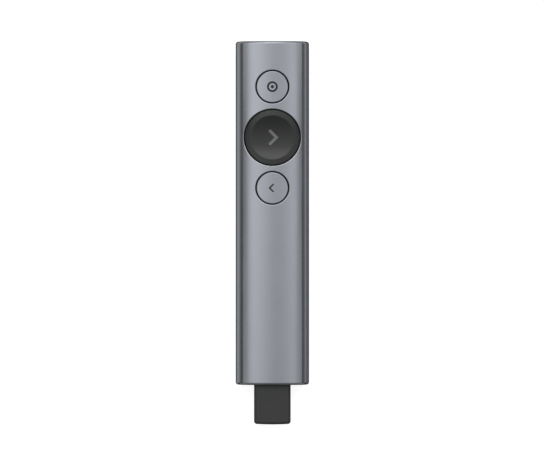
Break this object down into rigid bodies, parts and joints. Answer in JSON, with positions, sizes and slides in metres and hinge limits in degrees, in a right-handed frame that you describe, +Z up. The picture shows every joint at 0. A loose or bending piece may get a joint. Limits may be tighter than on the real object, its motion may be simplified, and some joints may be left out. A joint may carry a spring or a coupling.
{
  "type": "wireless presentation clicker",
  "caption": "Slim oval metal tube with round keys in a row, the middle one large and dished, and a plug-in radio receiver docked in its open tail.",
  "frame": {"origin": "under the middle of the clicker with its receiver docked, level with the lowest line of its back", "axes": "+X across the tube, +Y along it from the receiver's tail to the nose, +Z up out of the keys"},
  "size_m": [0.028, 0.1466, 0.0122],
  "materials": {
    "anodised_tube": "bead-blasted and anodised slate grey",
    "soft_black": "fine matt moulding",
    "receiver_grey": "fine matt moulding",
    "symbol_grey": "satin inlay",
    "symbol_dark": "satin inlay",
    "frame_black": "moulded",
    "carrier_white": "moulded",
    "board_green": "solder mask",
    "chip_black": "moulded",
    "socket_white": "moulded",
    "plain_steel": "nickel-plated",
    "screw_steel": "blackened",
    "contact_gold": "gold flash",
    "cell_wrap": "foil pouch",
    "pad_foam": "foam",
    "lead_red": "insulation",
    "lead_black": "insulation"
  },
  "bodies": {
    "handset": {"body_tube": "anodised_tube", "nose_cap": "soft_black", "tail_cap": "soft_black", "receiver_clips": "plain_steel", "tail_cap_screws": "screw_steel", "chassis": "frame_black", "circuit_board": "board_green", "key_frame": "frame_black", "board_screws": "screw_steel", "pointer_switch_base": "chip_black", "pointer_switch_dome": "plain_steel", "pointer_switch_cover": "plain_steel", "next_switch_base": "chip_black", "next_switch_dome": "plain_steel", "next_switch_cover": "plain_steel", "back_switch_base": "chip_black", "back_switch_dome": "plain_steel", "back_switch_cover": "plain_steel", "board_chips": "chip_black", "radio_shield": "plain_steel", "antenna_bracket": "plain_steel", "charging_port_shell": "plain_steel", "charging_port_tongue": "chip_black", "motor_base_plate": "plain_steel", "motor_can": "plain_steel", "motor_shaft": "plain_steel", "battery_cell": "cell_wrap", "battery_pads": "pad_foam", "battery_socket": "socket_white", "battery_plug": "socket_white", "battery_lead_positive": "lead_red", "battery_lead_negative": "lead_black"},
    "pointer_key": {"pointer_key_cap": "anodised_tube", "pointer_key_symbol": "symbol_dark", "pointer_key_carrier": "carrier_white", "pointer_switch_plunger": "carrier_white"},
    "next_key": {"next_key_cap": "soft_black", "next_key_symbol": "symbol_grey", "next_key_carrier": "carrier_white", "next_switch_plunger": "carrier_white"},
    "back_key": {"back_key_cap": "anodised_tube", "back_key_symbol": "symbol_dark", "back_key_carrier": "carrier_white", "back_switch_plunger": "carrier_white"},
    "receiver": {"receiver_case_top": "receiver_grey", "receiver_case_bottom": "receiver_grey", "plug_shell": "plain_steel", "plug_tongue": "chip_black", "plug_contacts": "contact_gold", "receiver_board": "board_green", "receiver_chips": "chip_black"},
    "motor_weight": {"motor_rotor": "contact_gold"}
  },
  "joints": [
    {"name": "pointer_key_press", "type": "slide", "parent": "handset", "child": "pointer_key", "axis": [0, 0, -1], "range_m": [0, 0.00045], "stiffness_N_per_m": 1500, "deforming": ["pointer_switch_dome"]},
    {"name": "next_key_press", "type": "slide", "parent": "handset", "child": "next_key", "axis": [0, 0, -1], "range_m": [0, 0.00045], "stiffness_N_per_m": 1500, "deforming": ["next_switch_dome"]},
    {"name": "back_key_press", "type": "slide", "parent": "handset", "child": "back_key", "axis": [0, 0, -1], "range_m": [0, 0.00045], "stiffness_N_per_m": 1500, "deforming": ["back_switch_dome"]},
    {"name": "receiver_slide", "type": "slide", "parent": "handset", "child": "receiver", "axis": [0, -1, 0], "range_m": [0, 0.032]},
    {"name": "motor_spin", "type": "hinge", "parent": "handset", "child": "motor_weight", "pos_m": [0, 0.00165, 0.00585], "axis": [0, 0, 1], "continuous": true}
  ]
}
